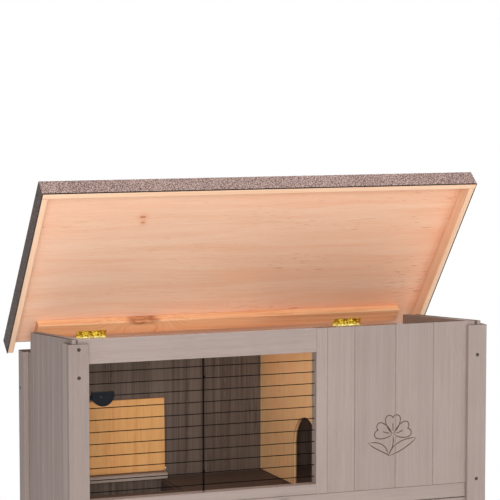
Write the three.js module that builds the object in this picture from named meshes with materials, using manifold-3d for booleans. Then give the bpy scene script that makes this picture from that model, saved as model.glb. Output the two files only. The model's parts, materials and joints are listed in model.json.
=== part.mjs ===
// Two-storey wooden rabbit house with a hinged roof, seen with the roof propped open.
// Units are millimetres. The pieces are laid out from the front left corner of the body at ground level:
// X runs to the right, Y to the rear and Z up. The whole group is then moved so that the origin lies
// on the ground under the middle of the object's outline with the roof open.
import * as THREE from "three";
import { mergeVertices } from "three/addons/utils/BufferGeometryUtils.js";
import Module from "manifold-3d";

const manifold = await Module();
manifold.setup();

// Body
const bodyWidth = 1120;
const bodyDepth = 455;
const frontWallTop = 1010;
const roofSlope = THREE.MathUtils.degToRad(4);
const wallThickness = 15;
const seat = 0.3;
const cutOverrun = 5;
const mergeTolerance = 1e-4;

// Corner posts: an L of two boards, with the walls seated inside it
const postThickness = 12;
const postFaceWidth = 52;
const postSideWidth = 51;
const postEase = 1.5;
const frontPostDrop = 10;
const rearPostDrop = 78;

// Front frame of the upper storey
const frameDepth = 30;
const timberEase = 1.2;
const topRailHeight = 60.4;
const openingWidth = 597.5;
const openingHeight = 335;
const bottomRailHeight = 24.6;
const stileWidth = 29.5;
const hiddenStileStep = 2;
const stopLip = 7;
const frontBoardShares = [0.183, 0.275, 0.257, 0.285];
const tongueReach = 4;
const tongueThickness = 4;
const seamChamfer = 1.6;
const nestBattenDepth = 15;
const nestBattenHeight = 36;
const nestBattenDrop = 9;

// Side and back walls of vertical boards
const sideWallDrop = 6;
const sideTopLength = 370;
const sideRailThickness = 17.2;
const sideRailHeight = 40;
const sideRailRear = 412;
const sideBoardCount = 5;
const backBoardCount = 10;
const boardGrooveWidth = 3.6;
const boardGrooveDepth = 1.8;

// Tray that pulls out between the front rails
const trayPlay = 0.8;
const trayFrontHeight = 36;
const trayFrontThickness = 12;
const trayFloorThickness = 9;
const trayFloorRise = 15.8;
const trayRimWidth = 12;
const trayRimHeight = 11;
const trayBackPlay = 3;
const trayRailGap = 2;
const guideLedgeReach = 20;
const guideLedgeHeight = 30;
const supportWidth = 18;
const knobRadius = 12.5;
const knobReach = 22;
const knobStemRadius = 6;
const knobProfileShares = [[0.6, 0.42], [0.9, 0.55], [1, 0.7], [0.95, 0.84], [0.75, 0.94], [0.4, 0.99], [0, 1]];
const knobSegments = 20;

// Hatch in the rear left corner of the tray, and its flap
const hatchWidth = 325.6;
const hatchDepth = 152;
const flapRailDepth = 34;
const flapRailHeight = 15.4;
const flapThickness = 9;
const flapHeight = 194;
const flapFoot = 6;
const flapLap = 6.6;
const flapPinRise = 8;
const flapPinSetback = 24.5;
const flapPinRadius = 2;
const flapPinLength = 9;
const flapPinPlay = 0.3;
const flapBracketThickness = 2;
const flapEarRadius = 5;
const flapEarSteps = 9;
const flapSidePlay = 0.6;
const flapWallPlay = 0.6;

// Divider and its arched doorway
const dividerThickness = 9;
const dividerSetback = 12.5;
const dividerDrop = 30;
const dividerFloorPlay = 2;
const archWidth = 166;
const archHeight = 189.5;
const archCentre = 113;
const archSides = 40;

// Wire grilles, doors and their sliding catches
const wireRadius = 1.15;
const wireSides = 6;
const wirePlane = 27;
const wirePitch = 29.5;
const wireTopMargin = 22.1;
const wireBottomMargin = 10;
const weldDepth = 0.5;
const wireSeatDepth = 4;
const wireHolePlay = 0.35;
const grooveDepth = 6;
const grooveFront = 0.5;
const grooveBack = 1;
const doorShare = 0.5048;
const doorSidePlay = 1.4;
const doorEndPlay = 2;
const hingeWireGap = 0.3;
const loopWall = 1.2;
const loopHeight = 5;
const loopSides = 12;
const catchRadius = 28.4;
const catchFlat = 10.8;
const catchCentreRise = 3.2;
const catchOffset = 41.2;
const catchFront = 6;
const catchBack = 3;
const catchRim = 2.6;
const catchRecess = 1.2;
const catchBandHeight = 10;
const catchRivetRadius = 3;
const catchTongueHeight = 7;
const catchTongueThickness = 1.6;
const catchTonguePlay = 0.6;
const catchSegments = 28;
const catchWireRow = 2;

// Lower storey
const lowerRailHeight = 60;
const groundClearance = 25;
const baseRailHeight = 50;
const rampWidth = 140;
const rampThickness = 12;
const rampSlope = THREE.MathUtils.degToRad(41);
const rampCleatPitch = 82;
const rampCleatHeight = 8;
const rampCleatWidth = 14;
const rampTopDrop = 12;
const rampSidePlay = 12;
const sideGrilleInset = 5;

// Roof, laid out from the hinge pin: along the slope and square to it
const roofDepth = 556.7;
const roofRearReach = 31;
const roofSideOverhang = 27.6;
const rimHeight = 46.7;
const coverThickness = 1.5;
const roofBoardThickness = 6.2;
const rimStripWidth = 15;
const roofBattenThickness = 22;
const roofBattenHeight = 45;
const roofBattenInset = 47;
const battenEase = 2.5;
const roofPlay = 0.5;
const roofOpening = THREE.MathUtils.degToRad(47.1);

// Brass butt hinges of the roof
const hingeWidth = 80;
const hingeInset = 195.5;
const leafReach = 24;
const leafThickness = 1.6;
const leafGap = 0.8;
const barrelRadius = 3.2;
const barrelPlay = 0.4;
const barrelSides = 14;
const hingePinRadius = 1.4;
const hingePinPlay = 0.3;
const knuckleCount = 5;
const knuckleGap = 0.5;
const screwHoleRadius = 1.8;
const screwHoleCount = 3;
const screwHoleSides = 10;
const hingeRailDepth = 37.5;
const hingeRailHeight = 42;
const pinBehindBody = 2;

// Places shared by several pieces
const wallFront = postThickness + seat;
const wallInner = wallFront + wallThickness;
const frameBack = wallFront + frameDepth;
const interiorLeft = wallInner + seat;
const interiorRight = bodyWidth - interiorLeft;
const backOuter = bodyDepth - postThickness - seat;
const backInner = backOuter - wallThickness;
const openingRight = postFaceWidth + openingWidth;
const openingTop = frontWallTop - topRailHeight;
const openingBottom = openingTop - openingHeight;
const stileRight = openingRight + stileWidth;
const frontWallBottom = openingBottom - bottomRailHeight;
const hiddenStileEdge = postFaceWidth - hiddenStileStep;
const trayFrontTop = frontWallBottom - trayPlay;
const trayFrontBottom = trayFrontTop - trayFrontHeight;
const trayUnderside = trayFrontBottom + trayFloorRise;
const trayTop = trayUnderside + trayFloorThickness;
const trayLeft = postFaceWidth + trayPlay;
const trayRight = bodyWidth - trayLeft;
const trayBack = backInner - trayBackPlay;
const lowerRailTop = trayFrontBottom - trayRailGap;
const lowerRailBottom = lowerRailTop - lowerRailHeight;
const baseRailTop = groundClearance + baseRailHeight;
const sideWallBottom = lowerRailBottom + sideWallDrop;
const rearPostTop = frontWallTop - rearPostDrop;
const hatchRight = trayLeft + hatchWidth;
const flapRailFront = backInner - seat - flapRailDepth;
const hatchFront = flapRailFront - hatchDepth;
const wireFront = wirePlane - 2 * wireRadius + weldDepth;
const grooveNear = wirePlane - wireRadius - grooveFront;
const grooveFar = wirePlane + wireRadius + grooveBack;

// The walls' tops lie in one plane that falls to the rear with the closed roof.
const wallTopAt = (y) => frontWallTop - Math.tan(roofSlope) * (y - wallFront);
const boardAbovePin = leafGap / 2 + leafThickness + seat + roofBattenThickness + seat;
const pinBehindBatten = barrelRadius + barrelPlay;
const pinY = bodyDepth + pinBehindBody;
const hingeRailRear = pinY - pinBehindBatten;
const hingeRailFront = hingeRailRear - hingeRailDepth;
const pinZ = wallTopAt(pinY) - (boardAbovePin - roofPlay) / Math.cos(roofSlope);
const hingeSeatDrop = leafGap / 2 + leafThickness + seat;

const stainedTimber = { color: 0xa8968c, roughness: 0.72, metalness: 0 };
const insideTimber = { color: 0x6d5c52, roughness: 0.8, metalness: 0 };
const plywood = { color: 0xdba877, roughness: 0.62, metalness: 0 };
const pine = { color: 0xe6b88e, roughness: 0.6, metalness: 0 };
const roofingFelt = { color: 0x7a655c, roughness: 0.9, metalness: 0 };
const blackWire = { color: 0x1a1411, roughness: 0.45, metalness: 0.4 };
const blackPlastic = { color: 0x1f242c, roughness: 0.38, metalness: 0 };
const brass = { color: 0xc9a24a, roughness: 0.32, metalness: 1 };
const zincSteel = { color: 0x4a4744, roughness: 0.4, metalness: 0.9 };

// Solids: geometry to a closed manifold and back

function solidOf(geometry) {
  const bare = geometry.clone();
  bare.deleteAttribute("normal");
  bare.deleteAttribute("uv");
  const merged = mergeVertices(bare, mergeTolerance);
  return new manifold.Manifold(
    new manifold.Mesh({
      numProp: 3,
      vertProperties: merged.attributes.position.array,
      triVerts: new Uint32Array(merged.index.array),
    }),
  );
}

function geometryOf(solid) {
  const mesh = solid.getMesh();
  const geometry = new THREE.BufferGeometry();
  geometry.setAttribute("position", new THREE.BufferAttribute(new Float32Array(mesh.vertProperties), 3));
  geometry.setIndex(new THREE.BufferAttribute(new Uint32Array(mesh.triVerts), 1));
  const faceted = geometry.toNonIndexed();
  faceted.computeVertexNormals();
  return faceted;
}

function join(...geometries) {
  return geometryOf(geometries.map(solidOf).reduce((whole, piece) => whole.add(piece)));
}

function cut(geometry, ...tools) {
  return geometryOf(tools.map(solidOf).reduce((rest, tool) => rest.subtract(tool), solidOf(geometry)));
}

// Outlines: a flat outline is pushed along X (its points are y, z), Y (points x, z) or Z (points x, y).

function extrude(axis, outline, from, to) {
  const points = axis === "y" ? outline.map(([x, z]) => [z, x]) : outline;
  const shape = new THREE.Shape(points.map(([a, b]) => new THREE.Vector2(a, b)));
  return placeExtrusion(axis, shape, from, to);
}

function placeExtrusion(axis, shape, from, to) {
  const geometry = new THREE.ExtrudeGeometry(shape, { depth: to - from, bevelEnabled: false });
  const unitX = new THREE.Vector3(1, 0, 0);
  const unitY = new THREE.Vector3(0, 1, 0);
  const unitZ = new THREE.Vector3(0, 0, 1);
  const turn = new THREE.Matrix4();
  if (axis === "x") turn.makeBasis(unitY, unitZ, unitX);
  if (axis === "y") turn.makeBasis(unitZ, unitX, unitY);
  geometry.translate(0, 0, from);
  geometry.applyMatrix4(turn);
  return geometry;
}

function rectangle([a0, a1], [b0, b1]) {
  return [[a0, b0], [a1, b0], [a1, b1], [a0, b1]];
}

// A rectangle whose four corners are eased by a small flat
function easedRectangle([a0, a1], [b0, b1], ease) {
  return [
    [a0 + ease, b0], [a1 - ease, b0], [a1, b0 + ease], [a1, b1 - ease],
    [a1 - ease, b1], [a0 + ease, b1], [a0, b1 - ease], [a0, b0 + ease],
  ];
}

function block(xRange, yRange, zRange) {
  return extrude("z", rectangle(xRange, yRange), ...zRange);
}

function timberX(xRange, yRange, zRange, ease = timberEase) {
  return extrude("x", easedRectangle(yRange, zRange, ease), ...xRange);
}

function timberY(xRange, yRange, zRange, ease = timberEase) {
  return extrude("y", easedRectangle(xRange, zRange, ease), ...yRange);
}

function timberZ(xRange, yRange, zRange, ease = timberEase) {
  return extrude("z", easedRectangle(xRange, yRange, ease), ...zRange);
}

function circleOutline([a, b], radius, sides, startAngle = 0) {
  return Array.from({ length: sides }, (_, i) => {
    const angle = startAngle + (i / sides) * 2 * Math.PI;
    return [a + radius * Math.cos(angle), b + radius * Math.sin(angle)];
  });
}

function rod(axis, centre, from, to, radius, sides) {
  return extrude(axis, circleOutline(centre, radius, sides), from, to);
}

const root = new THREE.Group();

function add(parent, name, geometry, finish) {
  const mesh = new THREE.Mesh(geometry, new THREE.MeshStandardMaterial(finish));
  mesh.name = name;
  parent.add(mesh);
  return mesh;
}

const mirrorX = (x) => bodyWidth - x;

// Turns a piece of the left side into its twin on the right.
function mirrored(geometry) {
  const flipped = geometry.clone();
  flipped.applyMatrix4(new THREE.Matrix4().makeScale(-1, 1, 1));
  flipped.translate(bodyWidth, 0, 0);
  const position = flipped.index ? flipped.toNonIndexed() : flipped;
  const values = position.attributes.position.array;
  for (let i = 0; i < values.length; i += 9) {
    for (let k = 0; k < 3; k++) {
      const swap = values[i + 3 + k];
      values[i + 3 + k] = values[i + 6 + k];
      values[i + 6 + k] = swap;
    }
  }
  position.computeVertexNormals();
  return position;
}

// Cuts what stands above the plane of the walls' tops off an upright piece of the front wall.
function bevelTop(geometry, yRange) {
  const [near, far] = [yRange[0] - cutOverrun, yRange[1] + cutOverrun];
  const above = frontWallTop + topRailHeight;
  const wedge = [[near, wallTopAt(near)], [far, wallTopAt(far)], [far, above], [near, above]];
  return cut(geometry, extrude("x", wedge, 0, bodyWidth));
}

// Corner posts

function postOutline(xTurn, yTurn) {
  const outline = [
    [postEase, 0], [postFaceWidth - postEase, 0], [postFaceWidth, postEase],
    [postFaceWidth, postThickness], [postThickness, postThickness],
    [postThickness, postSideWidth], [postEase, postSideWidth], [0, postSideWidth - postEase], [0, postEase],
  ];
  return outline.map(([x, y]) => [xTurn ? mirrorX(x) : x, yTurn ? bodyDepth - y : y]);
}

const frontPostTop = frontWallTop - frontPostDrop;
add(root, "post_front_left", extrude("z", postOutline(false, false), 0, frontPostTop), stainedTimber);
add(root, "post_front_right", extrude("z", postOutline(true, false), 0, frontPostTop), stainedTimber);
add(root, "post_rear_left", extrude("z", postOutline(false, true), 0, rearPostTop), stainedTimber);
add(root, "post_rear_right", extrude("z", postOutline(true, true), 0, rearPostTop), stainedTimber);

// Walls of vertical boards, with a V at each seam

function seamCutter(alongX, place, face, inward, zRange) {
  const half = boardGrooveWidth / 2;
  const deep = face + inward * boardGrooveDepth;
  const out = face - inward * cutOverrun;
  const flare = half * (1 + cutOverrun / boardGrooveDepth);
  const outline = [[place - flare, out], [place + flare, out], [place, deep]];
  return extrude("z", alongX ? outline : outline.map(([a, b]) => [b, a]), ...zRange);
}

function evenSeams(from, to, count) {
  return Array.from({ length: count - 1 }, (_, i) => from + ((to - from) * (i + 1)) / count);
}

function sideWall() {
  const notchFront = wallFront + sideTopLength;
  const outline = [
    [wallFront, sideWallBottom], [backOuter, sideWallBottom], [backOuter, rearPostTop],
    [notchFront, rearPostTop], [notchFront, wallTopAt(notchFront)], [wallFront, frontWallTop],
  ];
  const board = extrude("x", outline, wallFront, wallInner);
  const zRange = [sideWallBottom - cutOverrun, frontWallTop + cutOverrun];
  const seams = evenSeams(wallFront, backOuter, sideBoardCount);
  return cut(board, ...seams.map((y) => seamCutter(false, y, wallFront, 1, zRange)));
}

add(root, "side_panel_left", sideWall(), stainedTimber);
add(root, "side_panel_right", mirrored(sideWall()), stainedTimber);

// Rail along the inside of a side wall's top, which the closed roof lies on
const sideRailX = [wallInner + seat, wallInner + seat + sideRailThickness];

function sideTopRail(front) {
  const [frontTop, rearTop] = [wallTopAt(front), wallTopAt(sideRailRear)];
  const outline = [
    [front, frontTop - sideRailHeight], [sideRailRear, rearTop - sideRailHeight],
    [sideRailRear, rearTop], [front, frontTop],
  ];
  return extrude("x", outline, ...sideRailX);
}

add(root, "side_top_rail_left", sideTopRail(frameBack + seat), stainedTimber);
add(root, "side_top_rail_right", mirrored(sideTopRail(wallInner + seat)), stainedTimber);

const hingeRailBottom = pinZ - hingeSeatDrop - hingeRailHeight;
const backWallTop = hingeRailBottom - seat;

function backWall() {
  const board = block([interiorLeft, interiorRight], [backInner, backOuter], [groundClearance, backWallTop]);
  const zRange = [groundClearance - cutOverrun, backWallTop + cutOverrun];
  const seams = evenSeams(interiorLeft, interiorRight, backBoardCount);
  const outside = seams.map((x) => seamCutter(true, x, backOuter, -1, zRange));
  const inside = seams.map((x) => seamCutter(true, x, backInner, 1, zRange));
  return cut(board, ...outside, ...inside);
}

add(root, "back_panel", backWall(), insideTimber);

// The hinge rail carries the roof; its top follows the roof's slope.
function hingeRail() {
  const seatAt = (y) => pinZ - Math.tan(roofSlope) * (y - pinY) - hingeSeatDrop / Math.cos(roofSlope);
  const outline = [
    [hingeRailFront, hingeRailBottom], [hingeRailRear, hingeRailBottom],
    [hingeRailRear, seatAt(hingeRailRear)], [hingeRailFront, seatAt(hingeRailFront)],
  ];
  return extrude("x", outline, postFaceWidth + seat, bodyWidth - postFaceWidth - seat);
}

add(root, "hinge_rail", hingeRail(), stainedTimber);

// Front wall of the upper storey: rails and stiles round the opening, then boards

const frameY = [wallFront, frameBack];
const hingeWireX = postFaceWidth + openingWidth * doorShare;

// Blind hole in a rail for the end of an upright wire
function wireSocket(railFace, into) {
  const ends = [railFace - into * cutOverrun, railFace + into * (wireSeatDepth + seat)];
  const range = [Math.min(...ends), Math.max(...ends)];
  return rod("z", [hingeWireX, wireFront], ...range, wireRadius + wireHolePlay, loopSides);
}

function stileGroove(face, into, zRange) {
  const ends = [face - into * cutOverrun, face + into * grooveDepth];
  return block([Math.min(...ends), Math.max(...ends)], [grooveNear, grooveFar], zRange);
}

const topRail = timberX([interiorLeft, openingRight - seat], frameY, [openingTop, frontWallTop]);
add(root, "front_top_rail", cut(bevelTop(topRail, frameY), wireSocket(openingTop, 1)), stainedTimber);

const bottomRailZ = [frontWallBottom, openingBottom];
const bottomRail = timberX([interiorLeft, openingRight - seat], frameY, bottomRailZ);
add(root, "front_bottom_rail", cut(bottomRail, wireSocket(openingBottom, -1)), stainedTimber);

// A stile hidden behind a post, with the grille's groove and a lip that stops the door
function hiddenStile(zRange) {
  const lipEdge = hiddenStileEdge + stopLip;
  const outline = [
    [interiorLeft, wallFront], [hiddenStileEdge, wallFront], [hiddenStileEdge, grooveFar],
    [lipEdge, grooveFar], [lipEdge, frameBack], [interiorLeft, frameBack],
  ];
  const overrun = [zRange[0] - cutOverrun, zRange[1] + cutOverrun];
  return cut(extrude("z", outline, ...zRange), stileGroove(hiddenStileEdge, -1, overrun));
}

const openingZ = [openingBottom + seat, openingTop - seat];
add(root, "front_stile_left", hiddenStile(openingZ), stainedTimber);

const middleStile = timberZ([openingRight, stileRight], frameY, [frontWallBottom, frontWallTop]);
const middleStileCut = cut(bevelTop(middleStile, frameY), stileGroove(openingRight, 1, openingZ));
add(root, "front_stile_middle", middleStileCut, stainedTimber);

// Tongued and grooved board of the front wall, chamfered at its seams
function frontBoard(left, right, hasGroove, hasTongue) {
  const middle = wallFront + wallThickness / 2;
  const [x0, x1] = [left, right - seat];
  const outline = [[x0 + seamChamfer, wallFront], [x1 - seamChamfer, wallFront], [x1, wallFront + seamChamfer]];
  const tongueHalf = tongueThickness / 2;
  if (hasTongue) {
    outline.push([x1, middle - tongueHalf], [x1 + tongueReach, middle - tongueHalf]);
    outline.push([x1 + tongueReach, middle + tongueHalf], [x1, middle + tongueHalf]);
  }
  outline.push([x1, wallInner], [x0, wallInner]);
  if (hasGroove) {
    const grooveHalf = tongueHalf + seat;
    outline.push([x0, middle + grooveHalf], [x0 + tongueReach, middle + grooveHalf]);
    outline.push([x0 + tongueReach, middle - grooveHalf], [x0, middle - grooveHalf]);
  }
  outline.push([x0, wallFront + seamChamfer]);
  const board = extrude("z", outline, frontWallBottom, frontWallTop);
  return bevelTop(board, [wallFront, wallInner]);
}

const boardsLeft = stileRight + seat;
const boardsWidth = interiorRight - boardsLeft;
frontBoardShares.reduce((left, share, index) => {
  const isLast = index === frontBoardShares.length - 1;
  const right = isLast ? interiorRight : left + boardsWidth * share;
  add(root, `front_board_${index + 1}`, frontBoard(left, right, index > 0, !isLast), stainedTimber);
  return right;
}, boardsLeft);

const nestBattenY = [wallInner + seat, wallInner + seat + nestBattenDepth];
const nestX = [stileRight + seat, mirrorX(sideRailX[1]) - seat];
const nestTop = wallTopAt(nestBattenY[1]) - nestBattenDrop;
const nestBatten = timberX(nestX, nestBattenY, [nestTop - nestBattenHeight, nestTop]);
add(root, "nest_batten", nestBatten, insideTimber);

// Divider between the day room and the nest: its doorway has a round arch and runs up to the front stile

function divider() {
  const left = openingRight + dividerSetback;
  const bottom = trayTop + dividerFloorPlay;
  const front = frameBack + seat;
  const back = backInner - seat;
  const radius = archWidth / 2;
  const spring = trayTop + archHeight - radius;
  const notchFront = hingeRailFront - seat;
  const notchTop = hingeRailBottom - seat;
  const outline = [
    [front, bottom], [back, bottom], [back, notchTop], [notchFront, notchTop],
    [notchFront, wallTopAt(notchFront) - dividerDrop], [front, wallTopAt(front) - dividerDrop],
  ];
  const panel = extrude("x", outline, left, left + dividerThickness);
  const through = [left - cutOverrun, left + dividerThickness + cutOverrun];
  const archY = [archCentre - radius, archCentre + radius];
  const jambs = block(through, archY, [bottom - cutOverrun, spring]);
  const crown = rod("x", [archCentre, spring], ...through, radius, archSides);
  return cut(panel, jambs, crown);
}

add(root, "divider", divider(), plywood);

// Pull-out tray: front board, floor with the hatch notched into its rear left corner, and two rims

const tray = new THREE.Group();
root.add(tray);
const trayFloorFront = wallFront + trayFrontThickness + seat;

function trayFloor() {
  const outline = [
    [trayLeft, trayFloorFront], [trayRight, trayFloorFront], [trayRight, trayBack],
    [hatchRight, trayBack], [hatchRight, hatchFront], [trayLeft, hatchFront],
  ];
  return extrude("z", outline, trayUnderside, trayTop);
}

const trayFrontY = [wallFront, wallFront + trayFrontThickness];
const trayFrontBoard = timberX([trayLeft, trayRight], trayFrontY, [trayFrontBottom, trayFrontTop]);
add(tray, "tray_floor", trayFloor(), insideTimber);
add(tray, "tray_front", trayFrontBoard, stainedTimber);

const rimZ = [trayTop + seat, trayTop + seat + trayRimHeight];
const leftRimBack = hatchFront - 2 * trayRimWidth;
const leftRim = timberY([trayLeft, trayLeft + trayRimWidth], [trayFloorFront, leftRimBack], rimZ);
const rightRim = timberY([trayRight - trayRimWidth, trayRight], [trayFloorFront, trayBack], rimZ);
add(tray, "tray_rim_left", leftRim, insideTimber);
add(tray, "tray_rim_right", rightRim, insideTimber);

// Turned knob: a stem that swells into a rounded head
function knob() {
  const points = knobProfileShares.map(([radius, reach]) => [radius * knobRadius, reach * knobReach]);
  const stem = [[0, 0], [knobStemRadius, 0], [knobStemRadius, points[0][1]]];
  const profile = [...stem, ...points].map(([radius, reach]) => new THREE.Vector2(radius, reach));
  const lathe = new THREE.LatheGeometry(profile, knobSegments);
  lathe.rotateX(Math.PI);
  return geometryOf(solidOf(lathe));
}

const knobMesh = add(tray, "tray_knob", knob(), blackPlastic);
knobMesh.position.set(bodyWidth / 2, wallFront - seat, (trayFrontTop + trayFrontBottom) / 2);

// Guides beside the tray and bearers under it

function trayGuide() {
  const ledge = trayLeft + guideLedgeReach;
  const side = trayLeft - trayPlay;
  const ledgeTop = trayUnderside - seat;
  const outline = [
    [interiorLeft, ledgeTop - guideLedgeHeight], [ledge, ledgeTop - guideLedgeHeight],
    [ledge, ledgeTop], [side, ledgeTop], [side, rimZ[1]], [interiorLeft, rimZ[1]],
  ];
  return extrude("y", outline, frameBack + seat, backInner - seat);
}

add(root, "tray_guide_left", trayGuide(), insideTimber);
add(root, "tray_guide_right", mirrored(trayGuide()), insideTimber);

const bearerZ = [trayUnderside - seat - guideLedgeHeight, trayUnderside - seat];
const guideRightEdge = mirrorX(trayLeft + guideLedgeReach);
const hatchBearerX = [hatchRight, hatchRight + supportWidth];
const rearBearerX = [hatchBearerX[1] + seat, guideRightEdge - seat];
const hatchBearerY = [frameBack + seat, backInner - seat];
const hatchBearer = timberY(hatchBearerX, hatchBearerY, bearerZ);
add(root, "tray_bearer_hatch", hatchBearer, insideTimber);
const rearBearerY = [backInner - seat - supportWidth, backInner - seat];
const rearBearer = timberX(rearBearerX, rearBearerY, bearerZ);
add(root, "tray_bearer_rear", rearBearer, insideTimber);

// Flap that stands against the back wall and swings down over the hatch

const flapLeft = trayLeft + flapSidePlay + 2 * flapBracketThickness;
const flapRight = hatchRight + flapLap + flapSidePlay;
const flapRailZ = [trayTop + trayPlay, trayTop + trayPlay + flapRailHeight];
const flapRailY = [flapRailFront, backInner - seat];
const flapPinY = flapRailFront + flapPinSetback;
const flapPinZ = flapRailZ[1] + flapPinRise;
const flapArm = flapHeight - flapFoot;
const flapLean = Math.asin((backInner - flapWallPlay - flapThickness / 2 - flapPinY) / flapArm);
add(root, "flap_rail", timberX([flapLeft, flapRight], flapRailY, flapRailZ), insideTimber);

// Ear on the end of the flap rail, with the pin that the flap turns on
function flapBracket() {
  const plateX = [flapLeft - seat - flapBracketThickness, flapLeft - seat];
  const ear = [flapPinY, flapPinZ];
  const round = Array.from({ length: flapEarSteps + 1 }, (_, i) => {
    const angle = (i / flapEarSteps) * Math.PI;
    return [ear[0] + flapEarRadius * Math.cos(angle), ear[1] + flapEarRadius * Math.sin(angle)];
  });
  const outline = [
    [flapPinY - flapEarRadius, flapRailZ[0]], [flapRailY[1], flapRailZ[0]],
    [flapRailY[1], flapRailZ[0] + flapEarRadius], ...round,
  ];
  const pinEnd = flapLeft + flapPinLength;
  const pin = rod("x", [flapPinY, flapPinZ], plateX[0], pinEnd, flapPinRadius, loopSides);
  return join(extrude("x", outline, ...plateX), pin);
}

function rightTwin(geometry) {
  const twin = mirrored(geometry);
  twin.translate(flapLeft + flapRight - bodyWidth, 0, 0);
  return twin;
}

add(root, "flap_bracket_left", flapBracket(), zincSteel);
add(root, "flap_bracket_right", rightTwin(flapBracket()), zincSteel);

function hatchFlap() {
  const xRange = [flapLeft + flapSidePlay, flapRight - flapSidePlay];
  const yRange = [-flapThickness / 2, flapThickness / 2];
  const board = timberX(xRange, yRange, [-flapFoot, flapArm], timberEase);
  const boreRadius = flapPinRadius + flapPinPlay;
  const boreDepth = flapPinLength + flapSidePlay;
  const boreLeft = rod("x", [0, 0], flapLeft - cutOverrun, flapLeft + boreDepth, boreRadius, loopSides);
  const boreRight = rod("x", [0, 0], flapRight - boreDepth, flapRight + cutOverrun, boreRadius, loopSides);
  return cut(board, boreLeft, boreRight);
}

const flap = new THREE.Group();
flap.position.set(0, flapPinY, flapPinZ);
flap.rotation.x = -flapLean;
root.add(flap);
add(flap, "hatch_flap", hatchFlap(), plywood);

// Ramp from the hatch to the ground: one outline with its cleats, pushed across its width

function ramp() {
  const left = trayLeft + guideLedgeReach + seat;
  const top = trayUnderside - rampTopDrop;
  const along = (distance, lift) => [
    left + distance * Math.cos(rampSlope) + lift * Math.sin(rampSlope),
    top - distance * Math.sin(rampSlope) + lift * Math.cos(rampSlope),
  ];
  const length = top / Math.sin(rampSlope);
  const cleatCount = Math.floor(length / rampCleatPitch) - 1;
  const upper = [[left, top]];
  for (let i = 1; i <= cleatCount; i++) {
    const from = i * rampCleatPitch;
    const to = from + rampCleatWidth;
    upper.push(along(from, 0), along(from, rampCleatHeight), along(to, rampCleatHeight), along(to, 0));
  }
  const footRight = left + top / Math.tan(rampSlope);
  const footLeft = footRight - rampThickness / Math.sin(rampSlope);
  const outline = [...upper, [footRight, 0], [footLeft, 0], [left, top - rampThickness / Math.cos(rampSlope)]];
  const yRange = [flapRailFront - rampSidePlay - rampWidth, flapRailFront - rampSidePlay];
  return extrude("y", outline, ...yRange);
}

add(root, "ramp", ramp(), insideTimber);

// Frame of the lower storey

const lowerZ = [baseRailTop + seat, lowerRailBottom - seat];
const lowerTopRail = timberX([interiorLeft, interiorRight], frameY, [lowerRailBottom, lowerRailTop]);
add(root, "lower_top_rail", cut(lowerTopRail, wireSocket(lowerRailBottom, 1)), stainedTimber);
const baseRail = timberX([interiorLeft, interiorRight], frameY, [groundClearance, baseRailTop]);
add(root, "base_rail_front", cut(baseRail, wireSocket(baseRailTop, -1)), stainedTimber);
add(root, "lower_stile_left", hiddenStile(lowerZ), stainedTimber);
add(root, "lower_stile_right", mirrored(hiddenStile(lowerZ)), stainedTimber);

const lowerMiddle = timberZ([openingRight, stileRight], frameY, lowerZ);
const throughLowerZ = [lowerZ[0] - cutOverrun, lowerZ[1] + cutOverrun];
const lowerGrooves = [stileGroove(openingRight, 1, throughLowerZ), stileGroove(stileRight, -1, throughLowerZ)];
add(root, "lower_stile_middle", cut(lowerMiddle, ...lowerGrooves), stainedTimber);

const sideBaseY = [wallFront, backOuter];
const sideBase = timberY([wallFront, wallInner], sideBaseY, [groundClearance, baseRailTop]);
add(root, "base_rail_left", sideBase, stainedTimber);
add(root, "base_rail_right", mirrored(sideBase), stainedTimber);

// Grilles of round wire: level wires at one pitch, welded to uprights in front of them

function wireRows(bottom, top) {
  const count = Math.floor((top - bottom - wireTopMargin - wireBottomMargin) / wirePitch) + 1;
  return Array.from({ length: count }, (_, i) => top - wireTopMargin - i * wirePitch);
}

function levelWires(rows, xRange) {
  return rows.map((z) => rod("x", [wirePlane, z], ...xRange, wireRadius, wireSides));
}

function upright(x, zRange) {
  return rod("z", [x, wireFront], ...zRange, wireRadius, wireSides);
}

// Right half of an opening: fixed, its hinge wire seated in the rails and its level wires in the stile
function fixedGrille(bottom, top) {
  const rows = wireRows(bottom, top);
  const level = levelWires(rows, [hingeWireX - wireRadius, openingRight + wireSeatDepth]);
  const hingeWire = upright(hingeWireX, [bottom - wireSeatDepth, top + wireSeatDepth]);
  return join(hingeWire, ...level);
}

// Left half of an opening: a door that hangs by two loops on the fixed half's hinge wire
function grilleDoor(bottom, top) {
  const rows = wireRows(bottom, top);
  const innerX = hingeWireX - 2 * wireRadius - hingeWireGap;
  const outerX = postFaceWidth + doorSidePlay + wireRadius;
  const ends = [bottom + doorEndPlay, top - doorEndPlay];
  const level = levelWires(rows, [outerX - wireRadius, innerX + wireRadius]);
  const boreRadius = wireRadius + wireHolePlay;
  const loopRows = [rows[1], rows[rows.length - 2]];
  const loops = loopRows.map((row) => {
    const foot = row + wireRadius + seat;
    const shape = new THREE.Shape(circlePoints(boreRadius + loopWall));
    shape.holes.push(new THREE.Path(circlePoints(boreRadius)));
    return placeExtrusion("z", shape, foot, foot + loopHeight);
  });
  return join(upright(innerX, ends), upright(outerX, ends), ...level, ...loops);
}

function circlePoints(radius) {
  const outline = circleOutline([hingeWireX, wireFront], radius, loopSides);
  return outline.map(([x, y]) => new THREE.Vector2(x, y));
}

// Outline of the half-round catch: an arc of a given radius closed by a level line above its centre
function catchOutline([x, z], radius, flat) {
  const rise = Math.asin(flat / radius);
  const start = Math.PI - rise;
  const sweep = Math.PI + 2 * rise;
  return Array.from({ length: catchSegments + 1 }, (_, i) => {
    const angle = start + (i / catchSegments) * sweep;
    return [x + radius * Math.cos(angle), z + radius * Math.sin(angle)];
  });
}

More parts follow.
